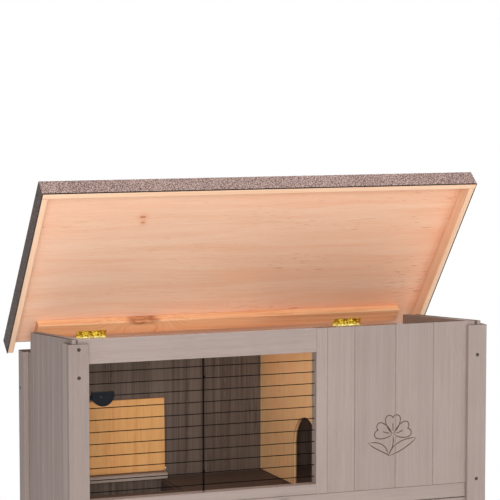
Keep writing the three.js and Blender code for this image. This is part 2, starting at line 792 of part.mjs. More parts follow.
// Catch that slides along one level wire and sends its tongue into the stile's groove
function doorCatch(bottom, top) {
  const x = postFaceWidth + catchOffset;
  const z = wireRows(bottom, top)[catchWireRow];
  const centre = [x, z + catchCentreRise];
  const flat = catchFlat - catchCentreRise;
  const yFront = wirePlane - catchFront;
  const plate = extrude("y", catchOutline(centre, catchRadius, flat), yFront, wirePlane + catchBack);
  const innerOutline = catchOutline(centre, catchRadius - catchRim, flat - catchRim);
  const recess = extrude("y", innerOutline, yFront - cutOverrun, yFront + catchRecess);
  const bandReach = catchRadius - 2 * catchRim;
  const bandY = [yFront + catchRecess / 2, wirePlane];
  const bandZ = [z - catchBandHeight / 2, z + catchBandHeight / 2];
  const band = timberX([x - bandReach, x + bandReach], bandY, bandZ, catchRecess / 2);
  const rivet = rod("y", [x, z], yFront, wirePlane, catchRivetRadius, loopSides);
  const tongueTop = z - wireRadius - wireHolePlay;
  const tongueFront = wireFront + wireRadius + wireHolePlay;
  const tongueX = [postFaceWidth + catchTonguePlay, x - catchRadius / 2];
  const tongueY = [tongueFront, tongueFront + catchTongueThickness];
  const tongue = block(tongueX, tongueY, [tongueTop - catchTongueHeight, tongueTop]);
  const channelX = [x - catchRadius - cutOverrun, x + catchRadius + cutOverrun];
  const channel = rod("x", [wirePlane, z], ...channelX, wireRadius + wireHolePlay, loopSides);
  return cut(join(cut(plate, recess), band, rivet, tongue), channel);
}

function frontGrilles(prefix, bottom, top, fixedName) {
  add(root, fixedName, fixedGrille(bottom, top), blackWire);
  const door = new THREE.Group();
  root.add(door);
  add(door, `${prefix}_door`, grilleDoor(bottom, top), blackWire);
  add(door, `${prefix}_catch`, doorCatch(bottom, top), blackPlastic);
}

frontGrilles("upper", openingBottom, openingTop, "upper_grille");
frontGrilles("lower", baseRailTop, lowerRailBottom, "lower_grille_left");

function rightGrille(bottom, top) {
  const ends = [stileRight - wireSeatDepth, mirrorX(hiddenStileEdge) + wireSeatDepth];
  const level = levelWires(wireRows(bottom, top), ends);
  const post = upright((stileRight + mirrorX(hiddenStileEdge)) / 2, [bottom + doorEndPlay, top - doorEndPlay]);
  return join(post, ...level);
}

add(root, "lower_grille_right", rightGrille(baseRailTop, lowerRailBottom), blackWire);

// Side grilles lie against the posts' inner faces.
function sideGrille(bottom, top) {
  const plane = wallFront + wireRadius;
  const ends = [postThickness + sideGrilleInset, bodyDepth - postThickness - sideGrilleInset];
  const level = wireRows(bottom, top).map((z) => rod("y", [plane, z], ...ends, wireRadius, wireSides));
  const uprightPlane = plane + 2 * wireRadius - weldDepth;
  const zRange = [bottom + doorEndPlay, top - doorEndPlay];
  const places = [ends[0] + frameDepth + postThickness, bodyDepth / 2, ends[1] - frameDepth];
  const posts = places.map((y) => rod("z", [uprightPlane, y], ...zRange, wireRadius, wireSides));
  return join(...posts, ...level);
}

add(root, "side_grille_left", sideGrille(baseRailTop, sideWallBottom), blackWire);
add(root, "side_grille_right", mirrored(sideGrille(baseRailTop, sideWallBottom)), blackWire);

// Roof: laid out closed, with its group's origin on the hinge pin, then turned open

const roof = new THREE.Group();
roof.position.set(0, pinY, pinZ);
roof.rotation.x = -(roofSlope + roofOpening);
root.add(roof);

const roofX = [-roofSideOverhang, bodyWidth + roofSideOverhang];
const roofY = [roofRearReach - roofDepth, roofRearReach];
const boardZ = [boardAbovePin, boardAbovePin + roofBoardThickness];
const coverTop = boardZ[1] + seat + coverThickness;
const rimBottom = coverTop - rimHeight;
const skin = coverThickness + seat;
const coreX = [roofX[0] + skin, roofX[1] - skin];
const coreY = [roofY[0] + skin, roofY[1] - skin];

// The covering wraps the front and side rims, and at the rear the roof board's edge alone.
function roofCover() {
  const outer = block(roofX, roofY, [rimBottom, coverTop]);
  const insideX = [roofX[0] + coverThickness, roofX[1] - coverThickness];
  const insideY = [roofY[0] + coverThickness, roofY[1] - coverThickness];
  const hollow = block(insideX, insideY, [rimBottom - cutOverrun, boardZ[1] + seat]);
  const rearGap = block(insideX, [0, roofY[1] + cutOverrun], [rimBottom - cutOverrun, boardZ[0]]);
  return cut(outer, hollow, rearGap);
}

const stripZ = [rimBottom, boardZ[0] - seat];
const frontStripY = [coreY[0], coreY[0] + rimStripWidth];
const sideStripY = [frontStripY[1] + seat, coreY[1]];
const sideStripX = [coreX[0], coreX[0] + rimStripWidth];
const battenY = [-pinBehindBatten - roofBattenHeight, -pinBehindBatten];
const battenX = [roofBattenInset, bodyWidth - roofBattenInset];
const battenZ = [boardZ[0] - seat - roofBattenThickness, boardZ[0] - seat];
const leftStrip = timberY(sideStripX, sideStripY, stripZ);
add(roof, "roof_cover", roofCover(), roofingFelt);
add(roof, "roof_board", block(coreX, coreY, boardZ), plywood);
add(roof, "roof_strip_front", timberX(coreX, frontStripY, stripZ), pine);
add(roof, "roof_strip_left", leftStrip, pine);
add(roof, "roof_strip_right", mirrored(leftStrip), pine);
add(roof, "roof_batten", timberX(battenX, battenY, battenZ, battenEase), pine);

// Butt hinge: two leaves whose knuckles interleave on one pin

function hingeLeaf(above) {
  const side = above ? 1 : -1;
  const plateEnds = [side * (leafGap / 2), side * (leafGap / 2 + leafThickness)];
  const plateZ = [Math.min(...plateEnds), Math.max(...plateEnds)];
  const half = hingeWidth / 2;
  const plate = block([-half, half], [-leafReach, 0], plateZ);
  const knuckleWidth = hingeWidth / knuckleCount;
  const knuckles = [];
  const windows = [];
  for (let i = 0; i < knuckleCount; i++) {
    const from = -half + i * knuckleWidth;
    const ownsKnuckle = above === (i % 2 === 1);
    const range = [from + knuckleGap / 2, from + knuckleWidth - knuckleGap / 2];
    const wide = [from - knuckleGap / 2, from + knuckleWidth + knuckleGap / 2];
    const reach = barrelRadius + barrelPlay;
    if (ownsKnuckle) knuckles.push(rod("x", [0, 0], ...range, barrelRadius, barrelSides));
    else windows.push(block(wide, [-reach, reach], [-reach, reach]));
  }
  const boreRadius = hingePinRadius + hingePinPlay;
  const bore = rod("x", [0, 0], -half - cutOverrun, half + cutOverrun, boreRadius, barrelSides);
  const holes = Array.from({ length: screwHoleCount }, (_, i) => {
    const x = -half + (hingeWidth * (i + 0.5)) / screwHoleCount;
    const y = -(leafReach + barrelRadius) / 2;
    return rod("z", [x, y], plateZ[0] - cutOverrun, plateZ[1] + cutOverrun, screwHoleRadius, screwHoleSides);
  });
  const strap = cut(join(cut(plate, ...windows), ...knuckles), ...holes);
  if (above) return cut(strap, bore);
  const pin = rod("x", [0, 0], -half + knuckleGap, half - knuckleGap, hingePinRadius, barrelSides);
  return join(strap, pin);
}

const wallHinges = new THREE.Group();
wallHinges.position.set(0, pinY, pinZ);
wallHinges.rotation.x = -roofSlope;
root.add(wallHinges);
const hingePlaces = { left: hingeInset, right: mirrorX(hingeInset) };
for (const [side, x] of Object.entries(hingePlaces)) {
  add(roof, `roof_hinge_leaf_${side}`, hingeLeaf(true), brass).position.x = x;
  add(wallHinges, `wall_hinge_leaf_${side}`, hingeLeaf(false), brass).position.x = x;
}

// The origin goes under the middle of the outline: the knob in front, the open roof's rear edge behind.
const openAngle = roofSlope + roofOpening;
const roofRearEdge = pinY + roofRearReach * Math.cos(openAngle) + coverTop * Math.sin(openAngle);
const knobFront = wallFront - seat - knobReach;
root.position.set(-bodyWidth / 2, -(roofRearEdge + knobFront) / 2, 0);

export default root;
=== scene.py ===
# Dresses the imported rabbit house: finished materials for its solids, the small pieces that they lack,
# light and a camera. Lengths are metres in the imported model's frame, X to the right, Y to the back and
# Z up. Colours are 0 to 255, as a picture holds them.
import json
import math

import bmesh
import bpy
from mathutils import Euler, Matrix, Vector
from mathutils.geometry import interpolate_bezier


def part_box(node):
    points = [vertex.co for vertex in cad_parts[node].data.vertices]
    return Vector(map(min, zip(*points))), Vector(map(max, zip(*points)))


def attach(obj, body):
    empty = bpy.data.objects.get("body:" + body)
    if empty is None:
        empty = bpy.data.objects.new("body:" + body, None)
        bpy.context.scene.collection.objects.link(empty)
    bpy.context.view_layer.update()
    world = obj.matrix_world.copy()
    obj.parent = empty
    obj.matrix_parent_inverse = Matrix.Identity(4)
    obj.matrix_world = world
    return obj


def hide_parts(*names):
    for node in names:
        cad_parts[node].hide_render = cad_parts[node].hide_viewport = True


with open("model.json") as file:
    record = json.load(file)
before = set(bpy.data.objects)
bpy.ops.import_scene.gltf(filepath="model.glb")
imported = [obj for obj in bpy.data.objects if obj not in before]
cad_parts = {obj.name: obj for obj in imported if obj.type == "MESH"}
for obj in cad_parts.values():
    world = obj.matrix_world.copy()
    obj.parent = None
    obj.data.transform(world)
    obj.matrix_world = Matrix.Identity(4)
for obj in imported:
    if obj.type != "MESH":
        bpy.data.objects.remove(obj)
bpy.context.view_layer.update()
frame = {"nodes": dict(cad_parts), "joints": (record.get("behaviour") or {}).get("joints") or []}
nodes = frame["nodes"]
scene = bpy.context.scene

# Colours of the finishes, mostly a light and a dark tone that the grain runs between
STAIN = (164, 148, 141), (141, 123, 115)
# The stain darkened as painted shade and lightened as painted light, for the front left post's front and
# side boards
STAIN_PAINTED_SHADE = (152, 137, 130), (130, 114, 106)
STAIN_PAINTED_LIGHT = (172, 155, 148), (160, 143, 134)
SIDE_STAIN = (166, 150, 144), (138, 121, 114)
# The stain darkened as painted shade, for the inner faces of the walls and the pieces inside the house
STAIN_IN_PAINTED_SHADE = (108, 93, 83), (66, 53, 44)
# The stain darkened further as painted shade, for the tray's floor
FLOOR_STAIN_PAINTED_SHADE = (84, 70, 62), (58, 46, 40)
LEDGE_STAIN = (162, 146, 136), (132, 115, 105)
STAIN_WORN = (206, 176, 152)
END_GRAIN = (100, 86, 81), (72, 59, 54)
RAW_PINE = (236, 190, 152), (206, 144, 98)
STRIP_PINE = (254, 214, 180), (242, 184, 142)
BATTEN_PINE = (254, 200, 152), (238, 160, 106)
PINE_KNOT = (164, 88, 44)
LID_PLY = (252, 212, 184), (242, 178, 138)
LID_BLUSH = (250, 168, 116)
INNER_PLY = (228, 172, 108), (206, 138, 74)
# Ply lightened as painted light for the divider's face, brighter than the flap's ply
DIVIDER_PLY_PAINTED_LIGHT = (255, 210, 156), (255, 188, 126)
PLY_FLECK = (176, 92, 44)
# Felt: a light tone for the crowns that carries painted sheen, and a dark tone for the pits that is painted
# shade
FELT = (202, 176, 168), (96, 73, 64)
FELT_CUT = (34, 26, 24)
WIRE = (7, 3, 2), (16, 9, 6)
PLASTIC = (12, 15, 22), (36, 42, 54)
SCREW = (74, 62, 56), (48, 38, 34)
BRASS = (240, 226, 158), (150, 128, 62)
ZINC = (176, 178, 182), (120, 120, 122)
ENGRAVED = (126, 104, 92), (96, 75, 65)

# Boards of the walls: axis that they follow each other on, first edge, width and spread of their tones
SIDE_BOARDS = 1, -0.2336, 0.0861, 0.03
BACK_BOARD_START, BACK_BOARD_WIDTH, BACK_BOARD_COUNT = -0.5324, 0.10648, 10
BACK_BOARDS = 0, BACK_BOARD_START, BACK_BOARD_WIDTH, 0.035
POST_BOARD = 0.0121  # thickness of the two boards of a post
# Painted shade: beyond this depth the walls' inner faces take the darker stain that stands in for the shade
# inside the house
PAINTED_SHADE_DEPTH = 0.010  # how deep in a wall its inner tone begins

# Knots seen in the photograph: middle and radius
LID_KNOTS = (Vector((-0.2966, -0.0236, 1.2848)), 0.0048), (Vector((-0.2927, -0.0114, 1.2697)), 0.0032)
BATTEN_KNOT = Vector((-0.226, 0.1775, 1.0000)), 0.026

# Fasteners
SCREW_RADIUS, SCREW_PROUD = 0.0046, 0.0006
HINGE_SCREW_RADIUS, HINGE_SCREW_PROUD = 0.0031, 0.0004
HINGE_HOLE_REACH = 0.0136  # from the pin to the row of holes in a leaf
POST_SCREW_X = 0.5335
POST_SCREW_ROWS = {
    ("front", "left"): (0.9874, 0.9188, 0.60, 0.50, 0.06),
    ("front", "right"): (0.9227, 0.60, 0.50, 0.06),
    ("rear", "left"): (0.90, 0.60, 0.50, 0.06),
    ("rear", "right"): (0.90, 0.60, 0.50, 0.06),
}
SIDE_SCREWS = ("front", -0.2232, (0.50, 0.06)), ("rear", 0.1944, (0.835, 0.50, 0.06))
FELT_NAILS, FELT_NAIL_SPAN, FELT_NAIL_INSET = 15, 1.12, 0.014
BRAD_ROWS = 0.045, 0.55, 0.89
CATCH_PIN_DROP = 0.0118  # from a catch's top edge to its pin

# The carved sprig on the front boards: middle as X and Z, and the size of a stroke
SPRIG_CENTRE = (0.3010, 0.7235)
STROKE_WIDTH = 0.0026
STROKE_DEPTH = 0.0018

# Light and camera
ROOM_LIGHT = 0.44
LAMPS = (
    ("left_softbox", (-1.9, -4.6, 1.7), (0, 0, 0.95), 2.0, 110),
    ("right_softbox", (1.9, -4.6, 1.5), (0, 0, 0.95), 2.0, 42),
    ("top_softbox", (0.45, -0.1, 3.6), (0, -0.1, 1.2), 1.2, 38),
)
CAMERA_PLACE = (-2.02822, -5.23025, 1.68980)
CAMERA_TURN, CAMERA_FALL = math.radians(21.2074), math.radians(5.0922)
SENSOR_WIDTH, LENS = 36, 157.268


def colour(picture, share=1.0):
    """A colour as shaders hold it, made darker or lighter by share."""
    linear = [
        c / 12.92 if c <= 0.04045 else ((c + 0.055) / 1.055) ** 2.4
        for c in (value / 255 for value in picture)
    ]
    return (*(value * share for value in linear), 1.0)


def broad_normal(name):
    """The way the largest face of a sheet looks."""
    return max(nodes[name].data.polygons, key=lambda face: face.area).normal.copy()


def upward(normal):
    return normal if normal.z > 0 else -normal


# Turns that lay each way of sawing along X, with the sheet's face along Z or Y
lid_normal = upward(broad_normal("roof_board"))
ramp_normal = upward(broad_normal("ramp"))
flap_normal = broad_normal("hatch_flap")
TILT = math.atan2(lid_normal.y, lid_normal.z)
GRAIN_TURNS = {
    "x": (0, 0, 0),
    "y": (0, 0, -math.pi / 2),
    "z": (0, math.pi / 2, 0),
    "roof x": (TILT, 0, 0),
    "roof y": (TILT, 0, -math.pi / 2),
    "flap": (math.atan(-flap_normal.z / flap_normal.y), math.pi / 2, 0),
    "ramp": (0, math.atan(-ramp_normal.x / ramp_normal.z), 0),
}


def span_across(name, grain, axis):
    """Lowest and highest place of a node's mesh along one axis of its grain's frame."""
    turn = Euler(GRAIN_TURNS[grain]).to_matrix()
    places = [(turn @ corner.co)[axis] for corner in nodes[name].data.vertices]
    return min(places), max(places)


class Recipe:
    """A procedural material being put together: each method adds a node and gives its output."""

    def __init__(self, name):
        self.material = bpy.data.materials.new(name)
        self.material.use_nodes = True
        self.tree = self.material.node_tree
        self.tree.nodes.clear()
        spots = self.node("TexCoord")
        self.place = spots.outputs["Object"]
        self.facing = spots.outputs["Normal"]

    def node(self, kind, **settings):
        made = self.tree.nodes.new("ShaderNode" + kind)
        for key, value in settings.items():
            setattr(made, key, value)
        return made

    def feed(self, socket, value):
        if isinstance(value, bpy.types.NodeSocket):
            self.tree.links.new(value, socket)
        else:
            socket.default_value = value

    def sum(self, operation, *values):
        """A math node on numbers or outputs."""
        made = self.node("Math", operation=operation)
        for socket, value in zip(made.inputs, values):
            self.feed(socket, value)
        return made.outputs[0]

    def vector(self, operation, first, second):
        made = self.node("VectorMath", operation=operation)
        self.feed(made.inputs[0], first)
        self.feed(made.inputs[1], second)
        return made.outputs[1 if operation in ("LENGTH", "DISTANCE", "DOT_PRODUCT") else 0]

    def split(self, vector):
        made = self.node("SeparateXYZ")
        self.feed(made.inputs[0], vector)
        return made.outputs

    def combine(self, *values):
        made = self.node("CombineXYZ")
        for socket, value in zip(made.inputs, values):
            self.feed(socket, value)
        return made.outputs[0]

    def turned(self, vector, turn, shift=None):
        """A place turned and shifted, or a direction turned where no shift is given."""
        made = self.node("Mapping", vector_type="VECTOR" if shift is None else "POINT")
        self.feed(made.inputs["Vector"], vector)
        made.inputs["Rotation"].default_value = turn
        if shift is not None:
            made.inputs["Location"].default_value = shift
        return made.outputs[0]

    def noise(self, vector, stretch, detail=2.0, roughness=0.5, distortion=0.0):
        """Noise whose grains per metre along each axis are given by stretch."""
        made = self.node("TexNoise")
        self.feed(made.inputs["Vector"], self.vector("MULTIPLY", vector, stretch))
        made.inputs["Scale"].default_value = 1.0
        made.inputs["Detail"].default_value = detail
        made.inputs["Roughness"].default_value = roughness
        made.inputs["Distortion"].default_value = distortion
        return made.outputs[0]

    def cells(self, vector, stretch, feature="F1"):
        made = self.node("TexVoronoi", feature=feature)
        self.feed(made.inputs["Vector"], self.vector("MULTIPLY", vector, stretch))
        made.inputs["Scale"].default_value = 1.0
        return made.outputs

    def between(self, value, low, high, start=0.0, end=1.0):
        """Value taken smoothly from low..high to start..end, and held there outside."""
        made = self.node("MapRange", interpolation_type="SMOOTHSTEP")
        for socket, number in zip(made.inputs, (value, low, high, start, end)):
            self.feed(socket, number)
        return made.outputs[0]

    def mix(self, share, first, second):
        made = self.node("Mix", data_type="RGBA")
        self.feed(made.inputs[0], share)
        self.feed(made.inputs[6], first)
        self.feed(made.inputs[7], second)
        return made.outputs[2]

    def shade(self, base, amount):
        """A colour made darker or lighter by a number near 1."""
        return self.vector("MULTIPLY", base, self.combine(amount, amount, amount))

    def finish(self, base, roughness, height=None, depth=0.0005, **plain):
        """The shader itself, with bumps depth metres high where a height is given."""
        shader = self.node("BsdfPrincipled")
        self.feed(shader.inputs["Base Color"], base)
        self.feed(shader.inputs["Roughness"], roughness)
        for name, value in plain.items():
            shader.inputs[name.replace("_", " ")].default_value = value
        if height is not None:
            bump = self.node("Bump")
            bump.inputs["Distance"].default_value = depth
            self.feed(bump.inputs["Height"], height)
            self.tree.links.new(bump.outputs[0], shader.inputs["Normal"])
        output = self.node("OutputMaterial")
        self.tree.links.new(shader.outputs[0], output.inputs[0])
        return self.material


def seed_shift(seed):
    """A shift along the grain and across it, so that no two boards repeat one figure."""
    return (3.7 * seed, 1.9 * seed, 2.3 * seed)


def edge_share(recipe, radius=0.0025):
    """1 along an outer edge, 0 on the flat of a face."""
    soft = recipe.node("Bevel", samples=4)
    soft.inputs["Radius"].default_value = radius
    true = recipe.node("NewGeometry").outputs["Normal"]
    facing = recipe.vector("DOT_PRODUCT", soft.outputs[0], true)
    return recipe.between(facing, 0.995, 0.90)


def wood_figure(recipe, grain, seed, knots=()):
    """Grain coordinates with the fibres led round knots, and the share of knot at each point."""
    along = recipe.turned(recipe.place, GRAIN_TURNS[grain], seed_shift(seed))
    knot_share = 0.0
    for centre, radius in knots:
        away = recipe.vector("SUBTRACT", recipe.place, centre)
        spread = recipe.turned(away, GRAIN_TURNS[grain])
        flat = recipe.vector("MULTIPLY", spread, (0.45, 1.0, 0.4))
        distance = recipe.vector("LENGTH", flat, (0, 0, 0))
        near = recipe.between(distance, 2.6 * radius, 0.6 * radius)
        push = recipe.sum("MULTIPLY", near, 1.6 * radius)
        side = recipe.sum("SIGN", recipe.split(spread)[1])
        along = recipe.vector(
            "ADD", along, recipe.combine(0.0, recipe.sum("MULTIPLY", push, side), 0.0)
        )
        core = recipe.between(distance, radius, 0.55 * radius)
        knot_share = recipe.sum("MAXIMUM", knot_share, core)
    return along, knot_share


def led_fibres(recipe, along, reach, stretch):
    """Grain coordinates that wander sideways by up to reach, as fibres in a sawn board do."""
    wander = recipe.noise(along, stretch, 1.5)
    return recipe.vector(
        "ADD", along, recipe.combine(0.0, recipe.sum("MULTIPLY", wander, reach), 0.0)
    )


def end_share(recipe, grain):
    """1 where a face cuts across the grain, 0 where it runs along it."""
    across = recipe.split(recipe.turned(recipe.facing, GRAIN_TURNS[grain]))[0]
    return recipe.between(recipe.sum("ABSOLUTE", across), 0.6, 0.85)


def year_rings(recipe, along, pitch=0.003):
    """The year rings that a sawn end shows."""
    wobble = recipe.sum("MULTIPLY", recipe.noise(along, (30, 60, 60), 2.0), 0.012)
    across = recipe.sum("ADD", recipe.split(along)[1], wobble)
    wave = recipe.sum("SINE", recipe.sum("MULTIPLY", across, math.tau / pitch))
    return recipe.between(wave, -0.6, 1.0)


def board_tone(recipe, boards, seed):
    """A number around 0 that changes from board to board of a wall."""
    axis, start, pitch, amount = boards
    place = recipe.sum("SUBTRACT", recipe.split(recipe.place)[axis], start)
    number = recipe.sum("FLOOR", recipe.sum("DIVIDE", place, pitch))
    chance = recipe.node("TexWhiteNoise", noise_dimensions="1D")
    recipe.feed(chance.inputs["W"], recipe.sum("ADD", number, 0.37 + seed))
    return recipe.sum("MULTIPLY", recipe.sum("SUBTRACT", chance.outputs[0], 0.5), 2 * amount)


def timber(name, grain, seed, tones=STAIN, contrast=0.40, painted_shade_and_light=None, boards=None, knots=(), wear=0.3):
    """Pine under a thin matt stain that lets the latewood lines through, with end grain and rubbed edges.

    The sixth argument is (axis, plane, way, tones) for a piece whose tones beyond the plane are painted
    shade and light. boards is (axis, first edge, width, spread) for a wall whose boards differ in tone.
    """
    recipe = Recipe(name)
    along, knot = wood_figure(recipe, grain, seed, knots)
    led = led_fibres(recipe, along, 0.05, (1.3, 6, 6))
    bands = recipe.noise(led, (0.9, 70, 70), 3.5, 0.55, 0.15)
    lines = recipe.noise(led, (2.2, 330, 330), 3.0, 0.6)
    fibres = recipe.noise(led, (14, 1300, 1300), 2.0)
    cloud = recipe.noise(recipe.place, (4, 4, 4), 2.0)
    tone = recipe.sum(
        "ADD",
        recipe.between(bands, 0.36, 0.68, 0.0, 0.55),
        recipe.between(lines, 0.42, 0.72, 0.0, 0.45),
    )
    share = recipe.sum("MULTIPLY", tone, contrast)
    base = recipe.mix(share, colour(tones[0]), colour(tones[1]))
    if painted_shade_and_light:
        axis, plane, way, inner_tones = painted_shade_and_light
        inner = recipe.mix(tone, *(colour(shade) for shade in inner_tones))
        place = recipe.split(recipe.place)[axis]
        beyond = recipe.sum("GREATER_THAN" if way > 0 else "LESS_THAN", place, plane)
        base = recipe.mix(beyond, base, inner)
    brightness = recipe.sum(
        "ADD",
        recipe.between(cloud, 0.3, 0.7, 0.965, 1.035),
        recipe.between(fibres, 0.3, 0.7, -0.05, 0.05),
    )
    if boards:
        brightness = recipe.sum("ADD", brightness, board_tone(recipe, boards, seed))
    base = recipe.shade(base, brightness)
    if knots:
        base = recipe.mix(recipe.sum("MULTIPLY", knot, 0.55), base, colour((104, 80, 68)))
    ends = recipe.mix(year_rings(recipe, along), colour(END_GRAIN[0]), colour(END_GRAIN[1]))
    base = recipe.mix(end_share(recipe, grain), base, ends)
    scuffs = recipe.noise(recipe.place, (60, 60, 60), 3.0, 0.6)
    worn = recipe.sum("MULTIPLY", edge_share(recipe), recipe.between(scuffs, 0.42, 0.68, 0.0, wear))
    base = recipe.mix(worn, base, colour(STAIN_WORN))
    height = recipe.sum(
        "ADD", recipe.sum("MULTIPLY", lines, 0.5), recipe.sum("MULTIPLY", fibres, 0.5)
    )
    roughness = recipe.between(lines, 0.3, 0.7, 0.64, 0.8)
    return recipe.finish(base, roughness, height, 0.00035, Specular_IOR_Level=0.3)


def bare_pine(name, grain, seed, tones=RAW_PINE, knots=(), contrast=1.0):
    """Planed pine without a finish: soft year rings, resin lines and knots."""
    recipe = Recipe(name)
    along, knot = wood_figure(recipe, grain, seed, knots)
    led = led_fibres(recipe, along, 0.07, (1.1, 7, 7))
    rings = recipe.noise(led, (0.8, 120, 120), 3.0, 0.55, 0.2)
    resin = recipe.noise(led, (4, 620, 620), 2.5, 0.55)
    fibres = recipe.noise(led, (18, 1700, 1700), 2.0)
    share = recipe.sum(
        "ADD",
        recipe.between(rings, 0.42, 0.66, 0.0, 0.55 * contrast),
        recipe.between(resin, 0.52, 0.72, 0.0, 0.45 * contrast),
    )
    base = recipe.mix(share, colour(tones[0]), colour(tones[1]))
    base = recipe.shade(base, recipe.between(fibres, 0.3, 0.7, 0.96, 1.03))
    if knots:
        flesh = recipe.noise(recipe.place, (45, 110, 110), 2.0)
        amount = recipe.sum("MULTIPLY", knot, recipe.between(flesh, 0.35, 0.65, 0.4, 0.85))
        base = recipe.mix(amount, base, colour(PINE_KNOT))
    ends = recipe.mix(year_rings(recipe, along), colour(tones[0], 0.8), colour(tones[1], 0.7))
    base = recipe.mix(end_share(recipe, grain), base, ends)
    height = recipe.sum("ADD", recipe.sum("MULTIPLY", rings, 0.4), recipe.sum("MULTIPLY", fibres, 0.6))
    return recipe.finish(
        base, recipe.between(rings, 0.3, 0.7, 0.54, 0.68), height, 0.0003, Specular_IOR_Level=0.35
    )


def ply_edges(recipe, node, grain, axis, tones, plies=3):
    """The share of a sheet's cut edge at each point, and the crossed plies with dark glue that it shows."""
    low, high = span_across(node, grain, axis)
    layer = (high - low) / plies
    flat = recipe.split(recipe.turned(recipe.place, GRAIN_TURNS[grain], (0, 0, 0)))[axis]
    depth = recipe.sum("DIVIDE", recipe.sum("SUBTRACT", flat, low), layer)
    crossed = recipe.between(recipe.sum("PINGPONG", recipe.sum("ADD", depth, 0.5), 1.0), 0.45, 0.55)
    whole = recipe.sum("ROUND", depth)
    glue = recipe.between(recipe.sum("ABSOLUTE", recipe.sum("SUBTRACT", depth, whole)), 0.12, 0.03)
    plies_shown = recipe.mix(crossed, colour(tones[0], 0.86), colour(tones[1], 0.62))
    plies_shown = recipe.mix(recipe.sum("MULTIPLY", glue, 0.7), plies_shown, colour(PLY_FLECK, 0.6))
    facing = recipe.split(recipe.turned(recipe.facing, GRAIN_TURNS[grain]))[axis]
    return recipe.between(recipe.sum("ABSOLUTE", facing), 0.8, 0.6), plies_shown


def ply_knots(recipe, base, knot, knots):
    """Small brown knots, each in a warm halo."""
    for centre, radius in knots:
        distance = recipe.vector("DISTANCE", recipe.place, centre)
        halo = recipe.between(distance, 5.0 * radius, radius, 0.0, 0.4)
        base = recipe.mix(halo, base, colour(LID_BLUSH, 0.85))
    return recipe.mix(recipe.sum("MULTIPLY", knot, 0.62), base, colour(PLY_FLECK))


def plywood(name, node, grain, axis, seed, tones=INNER_PLY, flecks=0.5, veins=0.4, knots=(), blush=None):
    """Rotary cut plywood: a soft flowing figure with short brown flecks, and the plies along its edges.

    blush is (tone, low, high, most): a tone that comes in smoothly along X, in streaks of the figure.
    """
    recipe = Recipe(name)
    along, knot = wood_figure(recipe, grain, seed, knots)
    led = led_fibres(recipe, along, 0.06, (2.0, 9, 9))
    figure = recipe.noise(led, (1.9, 30, 30), 3.0, 0.55, 0.3)
    streaks = recipe.noise(led, (6, 190, 190), 3.0, 0.6, 0.1)
    pores = recipe.noise(led, (45, 900, 900), 2.0)
    cloud = recipe.noise(recipe.place, (2.2, 2.2, 2.2), 2.0)
    share = recipe.sum(
        "ADD",
        recipe.between(figure, 0.32, 0.72, 0.0, 0.42),
        recipe.between(streaks, 0.44, 0.74, 0.0, veins),
    )
    base = recipe.mix(share, colour(tones[0]), colour(tones[1]))
    brightness = recipe.sum(
        "ADD",
        recipe.between(cloud, 0.3, 0.7, 0.97, 1.035),
        recipe.between(pores, 0.35, 0.65, -0.025, 0.025),
    )
    base = recipe.shade(base, brightness)
    if blush:
        tone, low, high, most = blush
        reach = recipe.between(recipe.split(recipe.place)[0], low, high, 0.15 * most, most)
        patchy = recipe.between(recipe.noise(led, (1.6, 16, 16), 3.0, 0.6), 0.35, 0.65, 0.45, 1.0)
        base = recipe.mix(recipe.sum("MULTIPLY", reach, patchy), base, colour(tone))
    dashes = recipe.noise(led, (26, 420, 420), 1.0, 0.5, 0.1)
    clusters = recipe.noise(along, (4, 14, 14), 2.0)
    marks = recipe.sum(
        "MULTIPLY",
        recipe.between(dashes, 0.65, 0.74),
        recipe.between(clusters, 0.44, 0.62, 0.0, flecks),
    )
    if blush:
        marks = recipe.sum("MULTIPLY", marks, recipe.between(reach, 0.0, most, 0.3, 1.15))
    base = recipe.mix(marks, base, colour(PLY_FLECK))
    if knots:
        base = ply_knots(recipe, base, knot, knots)
    on_edge, plies_shown = ply_edges(recipe, node, grain, axis, tones)
    base = recipe.mix(on_edge, base, plies_shown)
    height = recipe.sum("ADD", recipe.sum("MULTIPLY", streaks, 0.4), recipe.sum("MULTIPLY", pores, 0.6))
    return recipe.finish(
        base, recipe.between(figure, 0.3, 0.7, 0.52, 0.64), height, 0.0002, Specular_IOR_Level=0.3
    )


